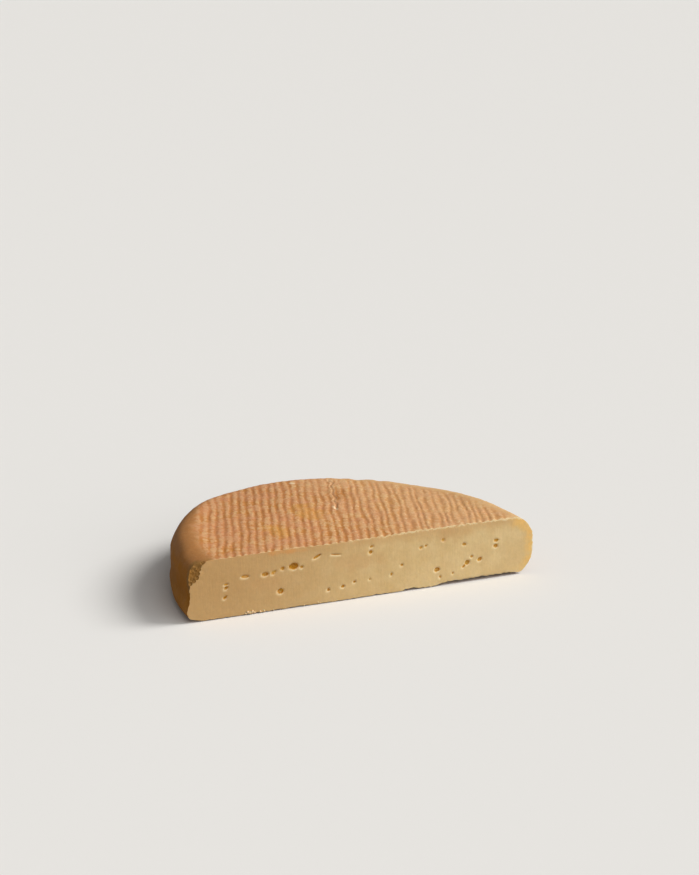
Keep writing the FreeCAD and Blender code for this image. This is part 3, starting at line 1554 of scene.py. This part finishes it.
@dataclass(frozen=True)
class RindFinish:
    """Washed rind: ochre-tan ridges, browner grooves, a smooth moist side; painted shade darkens
    the left, the side and the ridge flanks turned from the key light, and painted light pales the
    right and the foot of the side.
    """

    height: float
    front: float
    mottle: Tree
    blot: Tree
    name: str = "washed_rind"
    lean: float = LEAN
    crest: Colour = srgb(210, 163, 114)
    hollow: Colour = srgb(191, 127, 65)
    straw: Colour = srgb(220, 180, 128)
    shoulder: Colour = srgb(170, 116, 64)
    # The side rind's brown, deepened as painted shade for the side turned from the key light.
    side: Colour = srgb(174, 110, 16)
    # Painted bounce light at the foot of the side.
    foot: Colour = srgb(214, 150, 74)
    # The side rind's colour where it is not given painted shade, on the right and rear.
    flank: Colour = srgb(184, 134, 78)
    # Painted shade for the torn corner, the brown of the side rind in shade.
    torn_corner_shade: Colour = srgb(152, 112, 58)
    ochre: Colour = srgb(208, 149, 68)
    rust: Colour = srgb(176, 112, 55)
    rose: Colour = srgb(202, 140, 102)
    # Painted highlight colour for the top edge of the cut.
    highlight_cream: Colour = srgb(232, 206, 156)
    bloom: Colour = srgb(236, 212, 172)
    scar: Colour = srgb(158, 98, 46)
    surface: Surface = Surface(
        bump_depth=0.35,
        bump_share=0.38,
        glow=0.1,
        glow_colour=(1.0, 0.6, 0.35),
        glow_reach=1.2,
        shine=0.1,
    )

    def build(self) -> Material:
        """Builds the material.

        Returns:
            The finish.
        """
        paint = Paint(self.name)
        graph, place, x, y = paint.graph, paint.place, paint.x, paint.y
        groove, smooth = graph.attribute("groove"), graph.attribute("plain")
        broad, fine = graph.group(self.mottle, place, 1 / 13.0, 1 / 1.1)
        across, along = turned(x, y, self.lean)
        streak = graph.combine(across, along * 0.4, paint.z)

        self._ridges(paint, groove, streak, broad)
        low = self._side(paint, smooth)
        self._scars(paint)
        self._paint_cut_top_highlight(paint, groove)
        # Pale bloom flecks on the crests, thinned towards the left as painted shade.
        flecks = (
            graph.ease(graph.noise(streak, 0.9, 3.0, 0.6), 0.56, 0.7)
            * graph.ease(groove, 0.55, 0.1, 0.25, 1.0)
            * graph.ease(smooth, 0.0, 1.0, 0.4, 0.08)
            * graph.ease(x, -80.0, 0.0, 0.4, 1.0)
        )
        paint.coat(flecks, self.bloom)
        # Painted shade: the top is multiplied darker towards the left and the rear left, away from
        # the key light; the fine mottle in the same product is the rind's own.
        rear_left_shade = graph.ease(x, 35.0, -15.0) * graph.ease(y, -30.0, 30.0) * -0.06
        paint.shade((fine * 0.09 + 0.955) * graph.ease(x, -88.0, 0.0, 0.95, 1.0) + rear_left_shade)

        wet = low * -0.06 + graph.swing(place, 5.0, 0.06) + 0.66
        grain = graph.noise(place, 0.7, 3.0, 0.6) * 0.6 + graph.noise(place, 2.4, 2.0) * 0.5
        return paint.finish(wet, grain, self.surface)

    def _ridges(self, paint: Paint, groove: Value, streak: Value, broad: Value) -> None:
        """Colours the ridged top.

        Args:
            paint: The material.
            groove: How deep in a groove the point is.
            streak: The point, drawn out along the ridges.
            broad: The soft patches.
        """
        graph, place, x = paint.graph, paint.place, paint.x
        ease, noise = graph.ease, graph.noise
        worn = groove + graph.swing(streak, 1.1, 0.24, 2.0) + graph.swing(place, 3.2, 0.26, 2.0)
        crust = ease(noise(place, 3.6, 3.0, 0.6), 0.46, 0.6, 0.0, 0.6)
        # Painted shade: less straw crust towards the left.
        paint.tone = graph.blend(crust * ease(x, -70.0, 10.0, 0.25, 1.0), self.crest, self.straw)
        # The hollow colour follows the groove attribute: the rind's own smear in the grooves,
        # shifted onto the ridge flanks turned from the key light as painted shade.
        paint.coat(ease(worn, 0.0, 0.58), self.hollow)
        dark = ease(groove, 0.55, 0.95) * ease(noise(place, 6.0, 2.0), 0.48, 0.66, 0.0, 0.75)
        paint.coat(dark, self.rust)
        paint.coat(broad * 0.5, self.rose)
        paint.coat(ease(noise(place, 5.5, 3.0, 0.6), 0.5, 0.68, 0.0, 0.5), self.rose)
        # Painted light: the top pales towards the lit right.
        paint.coat(ease(x, -20.0, 70.0, 0.0, 0.4), self.straw)
        for centre, reach, colour, share in (
            ((-8.0, -6.0, self.height), (8.0, 17.0, 0.0), self.ochre, 0.48),
            ((-33.0, -28.0, self.height), (6.0, 12.0, 0.0), self.ochre, 0.5),
            ((17.0, 15.0, self.height), (6.5, 10.0, 0.0), self.rust, 0.5),
        ):
            paint.coat(paint.patch(self.blot, centre, reach) * share, colour)

    def _side(self, paint: Paint, smooth: Value) -> Value:
        """Colours the smooth rim, the side and the torn corner, with painted shade on the left and
        at the torn corner and painted bounce light at the side's foot.

        Args:
            paint: The material.
            smooth: How smooth the rim is here.

        Returns:
            How far down the side the point is, from 0 to 1.
        """
        graph, place = paint.graph, paint.place
        x, y, z = paint.x, paint.y, paint.z
        # The smooth rim's own tan, darker towards the left as painted shade and paler to the right
        # as painted light.
        plain = graph.blend(graph.ease(x, -20.0, 50.0, 0.0, 0.8), self.shoulder, self.straw)
        paint.coat(smooth * 0.92, plain)
        drop = z * -1.0 + (self.height - 1.0) + graph.swing(place, 6.0, 1.2, 2.0)
        # Painted shade: on the left the dark side colour climbs higher and turns more sharply from
        # the top.
        low = graph.ease(drop * graph.ease(x, -25.0, -70.0, 1.0, 2.2), 0.0, 13.0)
        # Painted bounce light: the side pales towards its foot.
        bounce_at_foot = graph.ease(z + graph.swing(place, 7.0, 1.5), 13.0, 2.0, 0.0, 0.55)
        # Painted shade: the deepened side colour covers the left front; the right and rear get the
        # flank colour.
        away = x + y * 1.2 + graph.swing(place, 12.0, 16.0, 3.0)
        shaded = graph.blend(bounce_at_foot, self.side, self.foot)
        paint.coat(low, graph.blend(graph.ease(away, -105.0, 0.0), shaded, self.flank))
        # Painted shade: the torn corner is darkened to the brown of the side rind in shade.
        torn_shade_mask = paint.patch(self.blot, (-85.0, self.front, 23.5), (10.0, 4.0, 10.0))
        paint.coat(torn_shade_mask * 0.95, self.torn_corner_shade)
        return low

    def _scars(self, paint: Paint) -> None:
        """Colours the crack and two pale specks.

        Args:
            paint: The material.
        """
        gash = paint.graph.attribute("crack")
        paint.coat(paint.graph.ease(gash, 0.3, 0.6, 0.0, 0.15), self.bloom)
        paint.coat(paint.graph.ease(gash, 0.72, 0.92, 0.0, 0.5), self.scar)
        for centre, reach in (
            ((3.3, 42.0, self.height), (1.4, 1.8, 0.0)),
            ((6.4, -6.0, self.height), (0.9, 4.5, 0.0)),
        ):
            paint.coat(paint.patch(self.blot, centre, reach) * 0.75, self.bloom)

    def _paint_cut_top_highlight(self, paint: Paint, groove: Value) -> None:
        """Paints a pale highlight along the top of the cut, where the cut edge and the ridge ends
        catch the light.

        Args:
            paint: The material.
            groove: How deep in a groove the point is.
        """
        graph, place, x = paint.graph, paint.place, paint.x
        behind = paint.y - self.front + groove * 1.8 + graph.swing(place, 1.5, 0.8)
        edge = (
            graph.ease(behind, 2.3, 0.6)
            * graph.ease(paint.z, self.height - 4.0, self.height - 2.0)
            * graph.ease(x, -79.0, -70.0)
            * graph.ease(x, -60.0, 20.0, 0.6, 0.95)
            * graph.ease(graph.noise(place, 2.2, 2.0), 0.4, 0.55, 0.4, 1.0)
        )
        # Painted highlight along the cut's top edge.
        paint.coat(edge, self.highlight_cream)


@dataclass(frozen=True)
class PasteFinish:
    """Cut paste: creamy straw yellow, faint knife drag, deeper under the rind; paler to the right
    as painted light and darker to the left as painted shade, with painted highlights along its
    edge and on the eyes' rims.
    """

    height: float
    front: float
    mottle: Tree
    blot: Tree
    name: str = "cut_paste"
    base: Colour = srgb(214, 182, 126)
    pale: Colour = srgb(228, 201, 148)
    under_rind: Colour = srgb(204, 160, 104)
    shaded: Colour = srgb(196, 156, 101)
    tinge: Colour = srgb(216, 154, 86)
    yellow: Colour = srgb(236, 192, 114)
    # Painted highlight colour for the cut's edge and the eyes' rims.
    highlight_cream: Colour = srgb(238, 216, 168)
    surface: Surface = Surface(
        bump_depth=0.25,
        bump_share=0.5,
        glow=0.3,
        glow_colour=(1.0, 0.75, 0.45),
        glow_reach=1.6,
        shine=0.4,
    )

    def build(self) -> Material:
        """Builds the material.

        Returns:
            The finish.
        """
        paint = Paint(self.name)
        graph, place, x, z = paint.graph, paint.place, paint.x, paint.z
        broad, fine = graph.group(self.mottle, place, 1 / 9.0, 1 / 1.6)
        # The paste's own soft mottle, plus painted light that pales it towards the right.
        mottle_and_light = broad * 0.5 + graph.ease(x, 10.0, 70.0, 0.0, 0.34)
        paint.tone = graph.blend(mottle_and_light, self.base, self.pale)
        under = self.height - z + graph.swing(place, 9.0, 0.9)
        paint.coat(graph.ease(under, 6.0, 0.8) * 0.5, self.under_rind)
        # Painted shade towards the left of the cut, a little less near the foot.
        left = graph.ease(x, 25.0, -76.0) * graph.ease(z, 2.0, 16.0, 0.88, 1.0)
        paint.coat(left, self.shaded)
        self._clouds(paint)
        self._edges(paint)
        # Painted highlight on the lower-left rims of the eyes.
        paint.coat(graph.attribute("eye_highlight") * 0.45, self.highlight_cream)
        paint.shade(fine * 0.05 + 0.975)

        drag = graph.vector("MULTIPLY", place, (1.0, 1.0, 0.12))
        grain = (
            graph.noise(drag, 1.1, 2.0) * 0.5
            + graph.noise(place, 0.8, 3.0) * 0.35
            + graph.noise(place, 3.5, 2.0) * 0.6
        )
        return paint.finish(graph.swing(place, 4.0, 0.06) + 0.5, grain, self.surface)

    def _clouds(self, paint: Paint) -> None:
        """Lays the darker clouds on the cut; each is placed by x and z.

        Args:
            paint: The material.
        """
        for (along, rise), (wide, high), share, colour in (
            ((-1.0, 18.5), (13.0, 5.0), 0.4, self.under_rind),
            ((-40.0, 27.8), (9.0, 1.6), 0.7, self.tinge),
            ((44.0, 25.0), (12.0, 3.5), 0.4, self.under_rind),
            ((40.3, 22.8), (1.6, 1.4), 0.6, self.tinge),
            ((-50.0, 14.0), (10.0, 4.0), 0.35, self.under_rind),
            ((-73.2, 17.2), (3.4, 0.35), 0.5, self.under_rind),
        ):
            cloud = paint.patch(self.blot, (along, self.front, rise), (wide, 0.0, high))
            paint.coat(cloud * share, colour)

    def _edges(self, paint: Paint) -> None:
        """Colours the moist right end, and paints a pale highlight line along the rind where the
        cut's edge catches the light.

        Args:
            paint: The material.
        """
        graph, place, x, z = paint.graph, paint.place, paint.x, paint.z
        edge = graph.attribute("edge")
        rough_edge = edge + graph.swing(place, 4.0, 1.5, 3.0)
        wide = graph.ease(z, 20.0, 27.0, 4.0, 6.0)
        end = (
            graph.ease(rough_edge - wide, 1.6, -3.6)
            * graph.ease(x, 74.0, 81.0, 0.0, 0.95)
            * graph.ease(graph.noise(place, 2.8, 3.0, 0.6), 0.3, 0.56, 0.45, 1.0)
            * graph.ease(z, 0.5, 7.0, 0.2, 1.0)
            * graph.rest(paint.patch(self.blot, (82.5, self.front, 19.8), (3.6, 0.0, 1.7)))
        )
        paint.coat(end, self.yellow)
        # Painted highlight: a thin pale line along the upper and right edges of the cut, on its
        # right half, where the edge catches the light.
        edge_highlight = (
            graph.ease(edge + graph.swing(place, 1.3, 0.5), 0.8, 0.3)
            * graph.ease(z, 5.0, 10.0)
            * graph.ease(x, -30.0, 30.0, 0.0, 0.8)
            * graph.ease(graph.noise(place, 2.6, 2.0), 0.4, 0.54)
        )
        paint.coat(edge_highlight, self.highlight_cream)


@dataclass(frozen=True)
class EyeFinish:
    """The moist golden wall inside an eye."""

    name: str = "eye_wall"
    wall: Colour = srgb(224, 174, 72)
    deep: Colour = srgb(204, 148, 44)
    surface: Surface = Surface(
        bump_depth=0.1,
        bump_share=0.4,
        glow=0.65,
        glow_colour=(1.0, 0.75, 0.4),
        glow_reach=2.4,
    )

    def build(self) -> Material:
        """Builds the material.

        Returns:
            The finish.
        """
        paint = Paint(self.name)
        graph, place = paint.graph, paint.place
        paint.tone = graph.blend(graph.noise(place, 1.2, 2.0), self.wall, self.deep)
        rough = graph.swing(place, 1.0, 0.05) + 0.35
        return paint.finish(rough, graph.noise(place, 0.5, 2.0), self.surface)


@dataclass(frozen=True)
class NibFinish:
    """Dry pale paste of the torn nibs."""

    name: str = "paste_nib"
    dry: Colour = srgb(226, 196, 156)
    moist: Colour = srgb(212, 178, 128)
    surface: Surface = Surface(
        bump_depth=0.08,
        bump_share=0.5,
        glow=0.3,
        glow_colour=(1.0, 0.6, 0.3),
        glow_reach=1.0,
    )

    def build(self) -> Material:
        """Builds the material.

        Returns:
            The finish.
        """
        paint = Paint(self.name)
        graph, place = paint.graph, paint.place
        mixed = graph.ease(graph.noise(place, 0.6), 0.4, 0.65)
        paint.tone = graph.blend(mixed, self.dry, self.moist)
        rough = graph.swing(place, 0.7, 0.05) + 0.6
        return paint.finish(rough, graph.noise(place, 0.3, 2.0), self.surface)


# --------------------------------------------------------------------------
# The half wheel and its nibs
# --------------------------------------------------------------------------


@dataclass
class HalfWheel:
    """The whole half wheel: its shell, eyes, torn corner, relief and finishes."""

    outline: Outline
    section: Section
    split_angle: float = math.radians(38.0)
    facing: float = -0.9

    def build(self) -> Piece:
        """Builds and dresses the half wheel.

        Returns:
            The finished piece.
        """
        height, front = self.section.height / MM, self.outline.front / MM
        mottle, blot = mottle_group(), blot_group()
        rind = RindFinish(height, front, mottle, blot).build()
        paste = PasteFinish(height, front, mottle, blot).build()
        eye = EyeFinish().build()

        piece = Shell(self.outline, self.section).build()
        for material in (rind, paste, eye):
            piece.data.materials.append(material)
        self._part_faces(piece)
        cutters = EyeCutters(self.outline.front)
        cutters.refine(piece)
        eye_tools, torn = cutters.build(), TornCorner(self.outline.front).build()
        for tools, material in ((eye_tools, eye), (torn, rind)):
            for tool in tools:
                tool.data.materials.append(material)
                apply_new(
                    piece,
                    "BOOLEAN",
                    operation="DIFFERENCE",
                    solver="MANIFOLD",
                    material_mode="TRANSFER",
                    object=tool,
                )
        eyes = weld(eye_tools, "eye_cutters")
        self._note_edges(piece)
        crack, nicks = TopMarks(height).build()
        Relief(height, front).press(piece, crack, nicks, eyes)
        for tool in (eyes, crack, nicks, *torn):
            discard(tool)
        only(piece)
        bpy.ops.object.shade_smooth_by_angle(angle=self.split_angle)
        return piece

    def _part_faces(self, piece: Piece) -> None:
        """Gives the cut face its paste and the rest its rind.

        Args:
            piece: The shell.
        """
        open_mesh(piece)
        bpy.ops.mesh.select_mode(type="FACE")
        shell = bmesh.from_edit_mesh(piece.data)
        for side in shell.faces:
            at_cut = near(side.calc_center_median().y, self.outline.front)
            cut = at_cut and side.normal.y < self.facing
            side.material_index = Place.PASTE.value if cut else Place.RIND.value
        bmesh.update_edit_mesh(piece.data)
        close_mesh()

    def _note_edges(self, piece: Piece) -> None:
        """Keeps each point's distance in from the rim and from the cut's edge.

        Both are in millimetres, as the attributes rim and edge.

        Args:
            piece: The shell.
        """
        x, y, z = corner_places(piece)
        for name, inset in (
            ("rim", self.outline.inset(x, y)),
            ("edge", self.section.inset(x, z)),
        ):
            note = piece.data.attributes.new(name, "FLOAT", "POINT")
            note.data.foreach_set("value", (inset / MM).astype(np.float32))


@dataclass
class Nibs:
    """Little torn bits of paste that hang along the foot of the cut.

    Each is its place along the cut, its height and its size, in millimetres.
    """

    front: float
    bits: Triples = (
        (-60.4, 0.9, 0.55),
        (-59.4, 1.3, 0.75),
        (-58.3, 0.9, 0.6),
        (-57.3, 1.2, 0.7),
        (-56.2, 0.8, 0.45),
        (-53.4, 0.8, 0.5),
        (-51.4, 0.9, 0.45),
        (-46.8, 0.6, 0.3),
        (-31.5, 0.7, 0.34),
        (-24.6, 1.1, 0.4),
        (-23.5, 0.7, 0.3),
        (33.2, 0.8, 0.3),
    )
    stretch: tuple[float, float, float] = (1.35, 0.75, 0.85)
    turn: float = 0.7
    uneven: float = 0.16
    smooth: float = 0.5
    first_seed: int = 80
    stand_out: float = 0.05

    def build(self) -> Piece:
        """Builds and dresses the nibs as one piece.

        Returns:
            The finished piece.
        """
        made = []
        for number, (along, rise, size) in enumerate(self.bits):
            bpy.ops.mesh.primitive_ico_sphere_add(
                subdivisions=3,
                radius=size * MM,
                location=(along * MM, self.front - self.stand_out * MM, rise * MM),
                rotation=(0.0, self.turn * number, 0.0),
            )
            bit = rough_lump(
                self.stretch,
                smooth=self.smooth,
                offset=self.uneven * size * MM,
                uniform=0.5,
                normal=0.5,
                seed=self.first_seed + number,
            )
            made.append(bit)
        nibs = weld(made, "paste_nibs")
        nibs.data.materials.append(NibFinish().build())
        only(nibs)
        bpy.ops.object.shade_smooth()
        return nibs


# --------------------------------------------------------------------------
# Studio
# --------------------------------------------------------------------------


@dataclass(frozen=True)
class Studio:
    """A plain pale floor, soft light and the camera, in metres and degrees."""

    floor_level: float
    floor_size: float = 60.0
    seen_floor: Colour = (0.80, 0.79, 0.77)
    lit_floor: Colour = (0.42, 0.40, 0.38)
    key: tuple[float, float, float, float] = (-14.0, 42.0, 30.0, 2.55)
    fill: tuple[float, float, float, float] = (-74.0, 30.0, 60.0, 1.45)
    lamp: Colour = (1.0, 0.985, 0.96)
    sky_strength: float = 0.22
    lens: float = 85.33
    sensor: float = 36.0
    far: float = 100.0
    stand: tuple[float, float, float] = (-0.3808, -0.8930, 0.3294)
    look: tuple[float, float, float] = (0.3921, 0.8812, -0.2641)

    def build(self) -> None:
        """Builds the floor, the lights and the camera."""
        self._floor()
        self._light()
        self._camera()

    def _floor(self) -> None:
        """Lays the floor, which keeps the wheel's shadow."""
        bpy.ops.object.select_all(action="DESELECT")
        bpy.ops.mesh.primitive_plane_add(
            size=self.floor_size, location=(0.0, 0.0, self.floor_level)
        )
        floor = bpy.context.object
        floor.name = "studio_floor"
        settle(floor)
        material = bpy.data.materials.new("studio_floor")
        material.use_nodes = True
        graph = Graph(material.node_tree)
        shader = material.node_tree.nodes["Principled BSDF"]
        seen = graph.node("ShaderNodeLightPath").outputs["Is Camera Ray"]
        graph.feed(shader.inputs["Base Color"], graph.blend(seen, self.lit_floor, self.seen_floor))
        shader.inputs["Roughness"].default_value = 0.9
        shader.inputs["Specular IOR Level"].default_value = 0.1
        floor.data.materials.append(material)

    def _light(self) -> None:
        """Hangs the two soft lights, each a turn, a rise, a softness and a strength."""
        for name, (turn, rise, softness, strength) in (("key", self.key), ("fill", self.fill)):
            turn, rise = math.radians(turn), math.radians(rise)
            source = Vector(
                (math.cos(turn) * math.cos(rise), math.sin(turn) * math.cos(rise), math.sin(rise))
            )
            bpy.ops.object.light_add(type="SUN", location=source)
            lamp = bpy.context.object
            lamp.name = f"{name}_light"
            lamp.rotation_euler = source.to_track_quat("Z", "Y").to_euler()
            lamp.data.energy = strength
            lamp.data.angle = math.radians(softness)
            lamp.data.color = self.lamp
        world = bpy.context.scene.world or bpy.data.worlds.new("studio_sky")
        bpy.context.scene.world = world
        world.use_nodes = True
        background = world.node_tree.nodes["Background"]
        background.inputs["Color"].default_value = (1.0, 1.0, 1.0, 1.0)
        background.inputs["Strength"].default_value = self.sky_strength

    def _camera(self) -> None:
        """Stands the camera."""
        bpy.ops.object.camera_add(location=self.stand)
        camera = bpy.context.object
        camera.name = "studio_camera"
        camera.rotation_euler = Vector(self.look).to_track_quat("-Z", "Y").to_euler()
        camera.data.lens = self.lens
        camera.data.sensor_width = self.sensor
        camera.data.clip_end = self.far
        bpy.context.scene.camera = camera
        bpy.context.scene.view_settings.view_transform = "Standard"


def report(piece: Piece) -> None:
    """Logs what a piece is made of.

    Args:
        piece: The finished piece.
    """
    piece.data.calc_loop_triangles()
    LOG.info(
        "%s: %d corners, %d triangles, %d finishes",
        piece.name,
        len(piece.data.vertices),
        len(piece.data.loop_triangles),
        len(piece.data.materials),
    )


def main() -> None:
    """Builds the half wheel and the studio round it."""
    logging.basicConfig(level=logging.INFO, format="%(name)s: %(message)s")
    low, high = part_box(NODE)
    half_width = (high.x - low.x) / 2.0
    outline = Outline(half_width=half_width, depth=high.y - low.y, front=low.y)
    section = Section(half_width=half_width, height=high.z - low.z)
    for piece in (HalfWheel(outline, section).build(), Nibs(low.y).build()):
        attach(piece, BODY)
        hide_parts(NODE)
        report(piece)
    Studio(floor_level=low.z).build()


if __name__ == "__main__":
    main()
